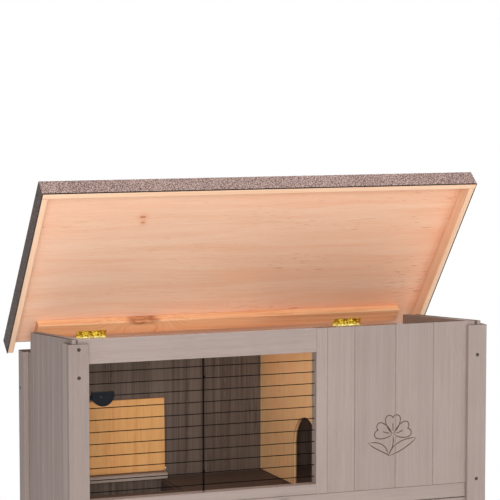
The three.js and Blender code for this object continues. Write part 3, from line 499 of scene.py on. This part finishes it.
def roofing_felt(name):
    """Embossed bitumen felt: close pebbles under mineral grit, with painted shade in the pits and on its
    folds at the two ends, and painted sheen on the crowns.
    """
    recipe = Recipe(name)
    flat = recipe.turned(recipe.place, GRAIN_TURNS["roof x"], (0, 0, 0))
    bent = recipe.noise(flat, (150, 150, 150), 2.0)
    led = recipe.vector("ADD", flat, recipe.combine(*[recipe.sum("MULTIPLY", bent, 0.006)] * 3))
    pebbles = recipe.cells(led, (380, 500, 500), "SMOOTH_F1")
    crowns = recipe.between(pebbles["Distance"], 0.22, 0.62, 1.0, 0.0)
    grit = recipe.noise(flat, (1500, 1500, 1500), 3.0, 0.7)
    patches = recipe.noise(flat, (9, 9, 9), 3.0)
    # Painted shade and sheen: the pits take the dark tone and the crowns the light one, along with the
    # bumps
    base = recipe.mix(crowns, colour(FELT[1]), colour(FELT[0]))
    brightness = recipe.sum(
        "ADD",
        recipe.between(grit, 0.3, 0.7, 0.82, 1.14),
        recipe.between(patches, 0.3, 0.7, -0.07, 0.07),
    )
    base = recipe.shade(base, brightness)
    low = span_across("roof_cover", "roof x", 2)[0]
    cut_edge = recipe.between(recipe.split(flat)[2], low + 0.0034, low + 0.0018)
    base = recipe.mix(cut_edge, base, colour(FELT_CUT))
    # Painted shade: faces that look along X, the felt's folds over the two ends of the lid, are darkened to
    # about a third
    sideways = recipe.sum("ABSOLUTE", recipe.split(recipe.facing)[0])
    base = recipe.shade(base, recipe.between(sideways, 0.6, 0.85, 1.0, 0.36))
    height = recipe.sum("ADD", crowns, recipe.sum("MULTIPLY", grit, 0.2))
    roughness = recipe.between(grit, 0.3, 0.7, 0.34, 0.54)
    return recipe.finish(base, roughness, height, 0.0010, Specular_IOR_Level=0.05)


def painted_wire(name):
    """Steel wire under a black coat with a little grain in it."""
    recipe = Recipe(name)
    runs = recipe.noise(recipe.place, (300, 300, 300), 2.0)
    base = recipe.mix(recipe.between(runs, 0.35, 0.7), colour(WIRE[0]), colour(WIRE[1]))
    rough = recipe.between(runs, 0.3, 0.7, 0.5, 0.65)
    return recipe.finish(base, rough, runs, 0.0001, Specular_IOR_Level=0.03)


def moulded(name, tones):
    """Moulded plastic with a fine spark-eroded grain and faint rubbing."""
    recipe = Recipe(name)
    grain = recipe.noise(recipe.place, (1500, 1500, 1500), 2.0)
    rubs = recipe.noise(recipe.place, (60, 60, 60), 3.0, 0.6)
    worn = recipe.sum("MULTIPLY", edge_share(recipe, 0.0012), recipe.between(rubs, 0.4, 0.65, 0.1, 0.6))
    body = recipe.mix(rubs, colour(tones[0]), colour(tones[0], 1.3))
    base = recipe.mix(worn, body, colour(tones[1]))
    rough = recipe.between(rubs, 0.3, 0.7, 0.42, 0.55)
    return recipe.finish(base, rough, grain, 0.00006, Specular_IOR_Level=0.12)


def metal(name, tones, roughness=(0.25, 0.45), metallic=1.0, dull=0.8):
    """Bright metal with rolling lines and dull tarnish in patches."""
    recipe = Recipe(name)
    lines = recipe.noise(recipe.place, (60, 1400, 1400), 2.0)
    patches = recipe.noise(recipe.place, (140, 140, 140), 3.0, 0.6)
    tarnish = recipe.between(patches, 0.42, 0.68, 0.0, dull)
    base = recipe.mix(tarnish, colour(tones[0]), colour(tones[1]))
    rough = recipe.between(patches, 0.3, 0.7, *roughness)
    return recipe.finish(base, rough, lines, 0.00004, Metallic=metallic)


def dress(finish, *names):
    for name in names:
        nodes[name].data.materials.clear()
        nodes[name].data.materials.append(finish)


def dress_walls():
    """Posts, side walls and the back wall, with the stain outside and the stain in painted shade within;
    the front left post takes painted shade on its front board and painted light on its side board.
    """
    for number, side in enumerate(("left", "right")):
        inward = 1 if side == "left" else -1
        for place, corner in enumerate(("front", "rear")):
            post = f"post_{corner}_{side}"
            tones, painted_shade_and_light = STAIN, None
            # Painted shade and light: the front left post's front board takes a darker stain and its side
            # board a paler one
            if post == "post_front_left":
                tones, painted_shade_and_light = STAIN_PAINTED_SHADE, (1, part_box(post)[0].y + POST_BOARD, 1, STAIN_PAINTED_LIGHT)
            dress(timber(post + "_stain", "z", 1.3 + number * 2.1 + place, tones, painted_shade_and_light=painted_shade_and_light), post)
        panel = f"side_panel_{side}"
        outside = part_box(panel)[number].x
        # Painted shade: the inner face of the side wall takes the darker stain
        painted_shade_and_light = (0, outside + inward * PAINTED_SHADE_DEPTH, inward, STAIN_IN_PAINTED_SHADE)
        dress(timber(panel + "_stain", "z", 4.2 + number, SIDE_STAIN, 0.7, painted_shade_and_light, SIDE_BOARDS), panel)
        rail = f"side_top_rail_{side}"
        dress(timber(rail + "_stain", "y", 5.6 + number), rail)
        # Painted shade: the tray's rims and guides inside take the darker stain
        dress(timber(f"tray_rim_{side}_stain", "y", 6 + number, STAIN_IN_PAINTED_SHADE), f"tray_rim_{side}")
        dress(timber(f"base_rail_{side}_stain", "y", 8.4 + number), f"base_rail_{side}")
        dress(timber(f"tray_guide_{side}_stain", "y", 35 + number, STAIN_IN_PAINTED_SHADE), f"tray_guide_{side}")
    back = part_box("back_panel")
    # Painted shade: the inner face of the back wall takes the darker stain
    painted_shade_and_light = (1, back[0].y + PAINTED_SHADE_DEPTH, -1, STAIN_IN_PAINTED_SHADE)
    dress(timber("back_panel_stain", "z", 2.6, painted_shade_and_light=painted_shade_and_light, boards=BACK_BOARDS), "back_panel")


def dress_front():
    """Rails, stiles and boards of both storeys' fronts, each with a tone of its own."""
    rails = "front_top_rail", "front_bottom_rail", "lower_top_rail", "base_rail_front", "tray_front"
    for number, rail in enumerate(rails):
        dress(timber(rail + "_stain", "x", 10.3 + number), rail)
    stiles = (
        "front_stile_left", "front_stile_middle",
        "lower_stile_left", "lower_stile_middle", "lower_stile_right",
    )
    for number, stile in enumerate(stiles):
        dress(timber(stile + "_stain", "z", 16.1 + number), stile)
    for number, share in enumerate((0.99, 0.975, 1.0, 1.01)):
        board = f"front_board_{number + 1}"
        tones = [tuple(share * value for value in tone) for tone in STAIN]
        dress(timber(board + "_stain", "z", 21.7 + 1.4 * number, tones), board)


def dress_inside():
    """What is seen through the grille and from below: divider, flap, ramp, tray and its bearers."""
    # Painted light: the divider's ply is brighter than the flap's
    dress(plywood("divider_ply", "divider", "z", 2, 3.1, DIVIDER_PLY_PAINTED_LIGHT), "divider")
    dress(plywood("flap_ply", "hatch_flap", "flap", 1, 5.2), "hatch_flap")
    dress(bare_pine("ramp_pine", "ramp", 7.9, contrast=0.8), "ramp")
    dress(bare_pine("hinge_rail_pine", "x", 32), "hinge_rail")
    # Painted shade: the nest batten inside takes the darker stain
    dress(timber("nest_batten_stain", "x", 30, STAIN_IN_PAINTED_SHADE), "nest_batten")
    # Painted shade: the tray floor takes a very dark stain
    dress(timber("tray_floor_stain", "x", 33, FLOOR_STAIN_PAINTED_SHADE), "tray_floor")
    for number, piece in enumerate(("tray_bearer_hatch", "tray_bearer_rear", "flap_rail")):
        dress(timber(piece + "_stain", "x", 38 + number, LEDGE_STAIN), piece)


def dress_roof():
    """The lid's sheet, redder to the right, its strips and batten, and the felt over them."""
    board = plywood(
        "roof_board_ply", "roof_board", "roof x", 2, 12.6, LID_PLY, flecks=0.6, veins=0.3,
        knots=LID_KNOTS, blush=(LID_BLUSH, -0.45, 0.5, 0.36),
    )
    dress(board, "roof_board")
    dress(bare_pine("roof_strip_front_pine", "roof x", 42, STRIP_PINE, contrast=0.6), "roof_strip_front")
    for number, side in enumerate(("left", "right")):
        strip = f"roof_strip_{side}"
        dress(bare_pine(strip + "_pine", "roof y", 43 + number, STRIP_PINE, contrast=0.6), strip)
    dress(bare_pine("roof_batten_pine", "roof x", 45, BATTEN_PINE, [BATTEN_KNOT]), "roof_batten")
    dress(roofing_felt("roof_cover_felt"), "roof_cover")


def dress_fittings():
    """Wire grilles, plastic catches and knob, brass hinges and zinc brackets."""
    grilles = (
        "upper_grille", "upper_door", "lower_grille_left", "lower_grille_right",
        "lower_door", "side_grille_left", "side_grille_right",
    )
    dress(painted_wire("black_wire_paint"), *grilles)
    dress(moulded("black_plastic_moulding", PLASTIC), "upper_catch", "lower_catch", "tray_knob")
    brass = metal("brass_hinge_metal", BRASS, (0.18, 0.32), dull=0.45)
    for side in ("left", "right"):
        dress(brass, f"wall_hinge_leaf_{side}", f"roof_hinge_leaf_{side}")
    dress(metal("zinc_steel_metal", ZINC), "flap_bracket_left", "flap_bracket_right")


def new_piece(name, mesh, finish, body):
    """An object of the scene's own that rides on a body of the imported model."""
    piece = bpy.data.objects.new(name, mesh)
    scene.collection.objects.link(piece)
    if finish is not None:
        mesh.materials.append(finish)
    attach(piece, body)
    return piece


def turned_head(profile, sides=20):
    """A mesh turned round Z: profile runs from the foot's radius and height to the crown on the axis."""
    made = bmesh.new()
    rings = []
    for radius, height in profile:
        count = sides if radius else 1
        angles = [math.tau * i / sides for i in range(count)]
        rings.append([made.verts.new((radius * math.cos(a), radius * math.sin(a), height)) for a in angles])
    for lower, upper in zip(rings, rings[1:]):
        for i in range(sides):
            j = (i + 1) % sides
            corners = (lower[i], lower[j], upper[j % len(upper)], upper[i % len(upper)])
            made.faces.new(list(dict.fromkeys(corners)))
    made.faces.new(list(reversed(rings[0])))
    mesh = bpy.data.meshes.new("head")
    made.to_mesh(mesh)
    made.free()
    return mesh


def cross_head(radius, proud, sides=24):
    """A screw's head with a cross recess in its crown, lying on the plane z = 0."""
    made = bmesh.new()
    half, reach = 0.13 * radius, 0.58 * radius
    angles = [math.tau * i / sides for i in range(sides)]

    def ring(points, height):
        return [made.verts.new((x, y, height)) for x, y in points]

    def circle(size):
        return [(size * math.cos(angle), size * math.sin(angle)) for angle in angles]

    def cross(share):
        a, b = half * share, reach * share
        arm = [(b, -a), (b, a), (a, a)]
        return [
            (x * math.cos(t) - y * math.sin(t), x * math.sin(t) + y * math.cos(t))
            for t in (i * math.pi / 2 for i in range(4)) for x, y in arm
        ]

    def skirt(lower, upper):
        for i in range(len(lower)):
            j = (i + 1) % len(lower)
            made.faces.new((lower[i], lower[j], upper[j], upper[i]))

    def loop(ring_points):
        return [made.edges.get((ring_points[i - 1], ring_points[i])) for i in range(len(ring_points))]

    foot = ring(circle(radius), 0)
    shoulder = ring(circle(radius), 0.35 * proud)
    rim = ring(circle(0.86 * radius), proud)
    lip = ring(cross(1.0), proud)
    floor = ring(cross(0.7), 0.2 * proud)
    skirt(foot, shoulder)
    skirt(shoulder, rim)
    skirt(lip, floor)
    made.faces.new(list(reversed(foot)))
    made.faces.new(floor)
    bmesh.ops.triangle_fill(made, use_beauty=True, edges=loop(rim) + loop(lip))
    bmesh.ops.recalc_face_normals(made, faces=made.faces)
    mesh = bpy.data.meshes.new("cross_head")
    made.to_mesh(mesh)
    made.free()
    return mesh


def stamped(name, pattern, places, facing):
    """One mesh with a copy of pattern at each place, its crown to the side that facing points to."""
    made = bmesh.new()
    turn = Vector(facing).to_track_quat("Z", "Y").to_matrix().to_4x4()
    for number, place in enumerate(places):
        first = len(made.verts)
        made.from_mesh(pattern)
        made.verts.ensure_lookup_table()
        spin = Matrix.Rotation(0.9 * number + 0.4, 4, "Z")
        bmesh.ops.transform(
            made, matrix=Matrix.Translation(place) @ turn @ spin, verts=made.verts[first:]
        )
    mesh = bpy.data.meshes.new(name)
    made.to_mesh(mesh)
    made.free()
    return mesh


def drive_screws():
    """Cross-head screws in the fronts, backs and sides of the posts."""
    dark = metal("dark_screw_metal", SCREW, (0.4, 0.6), 0.6)
    head = cross_head(SCREW_RADIUS, SCREW_PROUD)
    faces = {"front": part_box("post_front_left")[0].y, "rear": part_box("post_rear_left")[1].y}
    for (corner, side), rows in POST_SCREW_ROWS.items():
        way = -1 if side == "left" else 1
        out = -1 if corner == "front" else 1
        places = [Vector((way * POST_SCREW_X, faces[corner], z)) for z in rows]
        mesh = stamped(f"post_screws_{corner}_{side}", head, places, (0, out, 0))
        new_piece(mesh.name, mesh, dark, "house")
    for side, way in (("left", -1), ("right", 1)):
        for corner, y, rows in SIDE_SCREWS:
            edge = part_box(f"post_{corner}_{side}")[0 if way < 0 else 1].x
            places = [Vector((edge, y, z)) for z in rows]
            mesh = stamped(f"side_screws_{corner}_{side}", head, places, (way, 0, 0))
            new_piece(mesh.name, mesh, dark, "house")


def drive_hinge_screws():
    """Brass screws that fill the leaves' countersunk holes, three to a leaf."""
    bright = metal("brass_screw_metal", ((214, 186, 100), (140, 104, 40)))
    head = cross_head(HINGE_SCREW_RADIUS, HINGE_SCREW_PROUD, 16)
    for body, leaf, way in (("house", "wall_hinge_leaf", 1), ("roof", "roof_hinge_leaf", -1)):
        for side in ("left", "right"):
            name = f"{leaf}_{side}"
            shown = [face for face in nodes[name].data.polygons if face.normal.z * way > 0]
            normal = max(shown, key=lambda face: face.area).normal
            mesh = stamped(f"hinge_screws_{body}_{side}", head, leaf_holes(name, normal), normal)
            new_piece(mesh.name, mesh, bright, body)


def leaf_holes(name, normal):
    """Middles of the three screw holes on the face of a leaf that looks along normal."""
    mesh = nodes[name].data
    faces = [face for face in mesh.polygons if face.normal.dot(normal) > 0.99 and face.area > 1e-6]
    level = max(mesh.vertices[i].co.dot(normal) for face in faces for i in face.vertices)
    low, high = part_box(name)
    across = normal.cross(Vector((1, 0, 0))).normalized()
    if across.y > 0:
        across = -across
    holes = []
    for share in (1 / 6, 0.5, 5 / 6):
        hole = hinge_pin() + across * HINGE_HOLE_REACH
        hole.x = low.x + share * (high.x - low.x)
        holes.append(hole + normal * (level - hole.dot(normal)))
    return holes


def hinge_pin():
    """Where the pin of the roof's hinges runs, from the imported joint."""
    joint = next(joint for joint in frame["joints"] if joint["name"] == "roof_hinge")
    return Vector(joint["pos_m"])


def drive_nails():
    """Clout nails along the felt's rear edge, brads in the back wall and pins in the catches."""
    steel = metal("nail_metal", ZINC, (0.35, 0.55), 0.8)
    dark = metal("pin_metal", ((62, 60, 50), (40, 38, 32)), (0.4, 0.6), 0.5)
    clout = turned_head([(0.0045, 0), (0.0045, 0.0003), (0.0038, 0.0006), (0.002, 0.00078), (0, 0.0008)])
    cover_top = max(corner.co.dot(lid_normal) for corner in nodes["roof_cover"].data.vertices)
    slope = Vector((0, -lid_normal.z, lid_normal.y))
    rear = min(corner.co.dot(slope) for corner in nodes["roof_cover"].data.vertices)
    row = slope * (rear + FELT_NAIL_INSET) + lid_normal * cover_top
    places = [
        row + Vector((FELT_NAIL_SPAN * (i / (FELT_NAILS - 1) - 0.5), 0, 0)) for i in range(FELT_NAILS)
    ]
    mesh = stamped("felt_nails_rear", clout, places, lid_normal)
    new_piece(mesh.name, mesh, steel, "roof")
    brad = turned_head([(0.0016, 0), (0.0016, 0.0002), (0.0008, 0.00035), (0, 0.0004)], 12)
    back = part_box("back_panel")[1].y
    places = [
        Vector((BACK_BOARD_START + BACK_BOARD_WIDTH * (i + share), back, z))
        for i in range(BACK_BOARD_COUNT) for share in (0.25, 0.75) for z in BRAD_ROWS
    ]
    mesh = stamped("back_wall_brads", brad, places, (0, 1, 0))
    new_piece(mesh.name, mesh, steel, "house")
    rivet = turned_head([(0.0022, 0), (0.0022, 0.0005), (0.0015, 0.0011), (0, 0.0013)], 16)
    for node, body in (("upper_catch", "day_room_catch"), ("lower_catch", "run_catch")):
        low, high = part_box(node)
        place = Vector(((low.x + high.x) / 2, low.y, high.z - CATCH_PIN_DROP))
        mesh = stamped(f"{node}_pin", rivet, [place], (0, -1, 0))
        new_piece(mesh.name, mesh, dark, body)


def leaf_strokes(hub, angle, size):
    """A clover leaf from its foot at the hub: two sides that meet in a notch, and a midrib."""
    side = [(0.0, 0.06), (0.34, 0.24), (0.60, 0.94), (0.25, 1.0)]
    lobe = [(0.25, 1.0), (0.12, 1.02), (0.03, 0.96), (0.0, 0.84)]
    rib = [(0.0, 0.18), (0.02, 0.34), (-0.01, 0.48), (0.0, 0.60)]
    right = side + lobe[1:]
    left = [(-x, y) for x, y in right]
    return [
        [
            (
                hub[0] + size * (x * math.cos(angle) - y * math.sin(angle)),
                hub[1] + size * (x * math.sin(angle) + y * math.cos(angle)),
            )
            for x, y in points
        ]
        for points in (right, left, rib)
    ]


def sprig_strokes():
    """Curves of the whole motif in the plane of the boards, in metres from its middle."""
    strokes = []
    for angle in (-1.25, 0.0, 1.25):
        strokes += leaf_strokes((0.0, 0.004), angle, 0.050)
    strokes.append([(0.0, 0.002), (0.004, -0.016), (-0.002, -0.036), (-0.014, -0.050)])
    for tip, lean in (((0.066, -0.008), 0.016), ((-0.070, -0.014), -0.012)):
        root = (-0.012, -0.050)
        upper = [root, (root[0] + 0.4 * lean, -0.020), (tip[0] * 0.55, tip[1] + 0.004), tip]
        lower = [tip, (tip[0] * 0.72, tip[1] - 0.018), (root[0] + lean + 0.012, -0.044), root]
        strokes += [upper, lower]
    return strokes


def stroke_cutter(points, number):
    """A V-shaped cutter with tapered ends along a chain of cubic curves on the boards' face."""
    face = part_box("front_board_2")[0].y
    spots = []
    for start in range(0, len(points) - 1, 3):
        corners = [Vector((*p, 0)) for p in points[start:start + 4]]
        spots += interpolate_bezier(*corners, 12)[1 if spots else 0:]
    made = bmesh.new()
    rings = []
    last = len(spots) - 1
    for i, spot in enumerate(spots):
        way = (spots[min(i + 1, last)] - spots[max(i - 1, 0)]).normalized()
        side = Vector((-way.y, way.x, 0))
        share = min(1.0, 0.35 + 0.33 * min(i, last - i))
        half, deep = share * STROKE_WIDTH / 2, share * STROKE_DEPTH
        flank = [(1.4 * half, -0.001), (0.45 * half, 0.8 * deep)]
        section = [(-s, d) for s, d in flank] + [(0, deep)] + flank[::-1]
        rings.append([
            made.verts.new((
                SPRIG_CENTRE[0] + spot.x + side.x * s, face + d, SPRIG_CENTRE[1] + spot.y + side.y * s,
            ))
            for s, d in section
        ])
    for near, far in zip(rings, rings[1:]):
        for i in range(len(near)):
            j = (i + 1) % len(near)
            made.faces.new((near[i], near[j], far[j], far[i]))
    made.faces.new(list(reversed(rings[0])))
    made.faces.new(rings[-1])
    bmesh.ops.recalc_face_normals(made, faces=made.faces)
    mesh = bpy.data.meshes.new(f"stroke_{number}")
    made.to_mesh(mesh)
    made.free()
    cutter = bpy.data.objects.new(mesh.name, mesh)
    scene.collection.objects.link(cutter)
    return cutter


def burnt_groove():
    """The browner, rougher floor of a routed stroke."""
    recipe = Recipe("engraved_wood")
    fibres = recipe.noise(recipe.place, (900, 900, 40), 2.0)
    base = recipe.mix(recipe.between(fibres, 0.35, 0.65), colour(ENGRAVED[0]), colour(ENGRAVED[1]))
    return recipe.finish(base, 0.85, fibres, 0.0002, Specular_IOR_Level=0.2)


def carve_sprig():
    """Cuts the motif into copies of the two boards that it crosses."""
    groove = burnt_groove()
    cutters = [stroke_cutter(points, number) for number, points in enumerate(sprig_strokes())]
    for cutter in cutters:
        cutter.data.materials.append(groove)
    for name in ("front_board_2", "front_board_3"):
        made = bmesh.new()
        made.from_mesh(nodes[name].data)
        bmesh.ops.remove_doubles(made, verts=made.verts, dist=1e-6)
        mesh = bpy.data.meshes.new(name + "_carved")
        made.to_mesh(mesh)
        made.free()
        piece = new_piece(mesh.name, mesh, nodes[name].data.materials[0], "house")
        for cutter in cutters:
            cut = piece.modifiers.new(cutter.name, "BOOLEAN")
            cut.operation = "DIFFERENCE"
            cut.solver = "EXACT"
            cut.material_mode = "TRANSFER"
            cut.object = cutter
        bpy.context.view_layer.update()
        done = bpy.data.meshes.new_from_object(piece.evaluated_get(bpy.context.evaluated_depsgraph_get()))
        piece.modifiers.clear()
        piece.data = done
        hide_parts(name)
    for cutter in cutters:
        bpy.data.objects.remove(cutter)


def seen_rays(tree, rays):
    """1 for rays from the camera, off gloss or through glass, and 0 for the rays that carry light."""
    either = tree.nodes.new("ShaderNodeMath")
    either.operation = "MAXIMUM"
    tree.links.new(rays.outputs["Is Camera Ray"], either.inputs[0])
    tree.links.new(rays.outputs["Is Glossy Ray"], either.inputs[1])
    any_of = tree.nodes.new("ShaderNodeMath")
    any_of.operation = "MAXIMUM"
    tree.links.new(either.outputs[0], any_of.inputs[0])
    tree.links.new(rays.outputs["Is Transmission Ray"], any_of.inputs[1])
    return any_of.outputs[0]


def lay_floor():
    """A pale round floor that keeps the object's shadow and turns white away from it."""
    mesh = bpy.data.meshes.new("floor")
    made = bmesh.new()
    bmesh.ops.create_circle(made, cap_ends=True, segments=96, radius=14)
    made.to_mesh(mesh)
    made.free()
    floor = bpy.data.objects.new("floor", mesh)
    scene.collection.objects.link(floor)
    recipe = Recipe("studio_floor")
    reach = recipe.vector("LENGTH", recipe.place, (0, 0, 0))
    fade = recipe.between(reach, 0.9, 2.4)
    seen = recipe.sum("MULTIPLY", fade, seen_rays(recipe.tree, recipe.node("LightPath")))
    paper = recipe.node("BsdfPrincipled")
    paper.inputs["Base Color"].default_value = (0.86, 0.86, 0.86, 1)
    paper.inputs["Roughness"].default_value = 0.9
    paper.inputs["Specular IOR Level"].default_value = 0.1
    white = recipe.node("Emission")
    blend = recipe.node("MixShader")
    recipe.feed(blend.inputs[0], seen)
    recipe.feed(blend.inputs[1], paper.outputs[0])
    recipe.feed(blend.inputs[2], white.outputs[0])
    recipe.feed(recipe.node("OutputMaterial").inputs[0], blend.outputs[0])
    mesh.materials.append(recipe.material)


def lamp(name, place, target, size, power):
    """A round soft lamp that looks at target, its size in metres and its power in watts."""
    data = bpy.data.lights.new(name, "AREA")
    data.shape = "DISK"
    data.size = size
    data.energy = power
    made = bpy.data.objects.new(name, data)
    scene.collection.objects.link(made)
    made.location = place
    made.rotation_euler = (Vector(target) - Vector(place)).to_track_quat("-Z", "Y").to_euler()


def light_room():
    """A white room to the eye, with an even soft light in it, two broad lamps in front and one above."""
    world = bpy.data.worlds.new("studio")
    scene.world = world
    world.use_nodes = True
    tree = world.node_tree
    tree.nodes.clear()
    rays = tree.nodes.new("ShaderNodeLightPath")
    room = tree.nodes.new("ShaderNodeBackground")
    room.inputs["Color"].default_value = (1, 1, 1, 1)
    room.inputs["Strength"].default_value = ROOM_LIGHT
    seen = tree.nodes.new("ShaderNodeBackground")
    seen.inputs["Color"].default_value = (1, 1, 1, 1)
    blend = tree.nodes.new("ShaderNodeMixShader")
    tree.links.new(seen_rays(tree, rays), blend.inputs[0])
    tree.links.new(room.outputs[0], blend.inputs[1])
    tree.links.new(seen.outputs[0], blend.inputs[2])
    output = tree.nodes.new("ShaderNodeOutputWorld")
    tree.links.new(blend.outputs[0], output.inputs[0])
    for values in LAMPS:
        lamp(*values)


def place_camera():
    """The photograph's camera, fitted to measured edges: a long lens a little above the roof's hinge."""
    data = bpy.data.cameras.new("photo_camera")
    data.sensor_width = SENSOR_WIDTH
    data.lens = LENS
    made = bpy.data.objects.new("photo_camera", data)
    scene.collection.objects.link(made)
    made.location = CAMERA_PLACE
    made.rotation_euler = (math.pi / 2 - CAMERA_FALL, 0, -CAMERA_TURN)
    scene.camera = made


def main():
    place_camera()
    lay_floor()
    light_room()
    dress_walls()
    dress_front()
    dress_inside()
    dress_roof()
    dress_fittings()
    drive_screws()
    drive_hinge_screws()
    drive_nails()
    carve_sprig()
    scene.view_settings.view_transform = "Standard"


main()
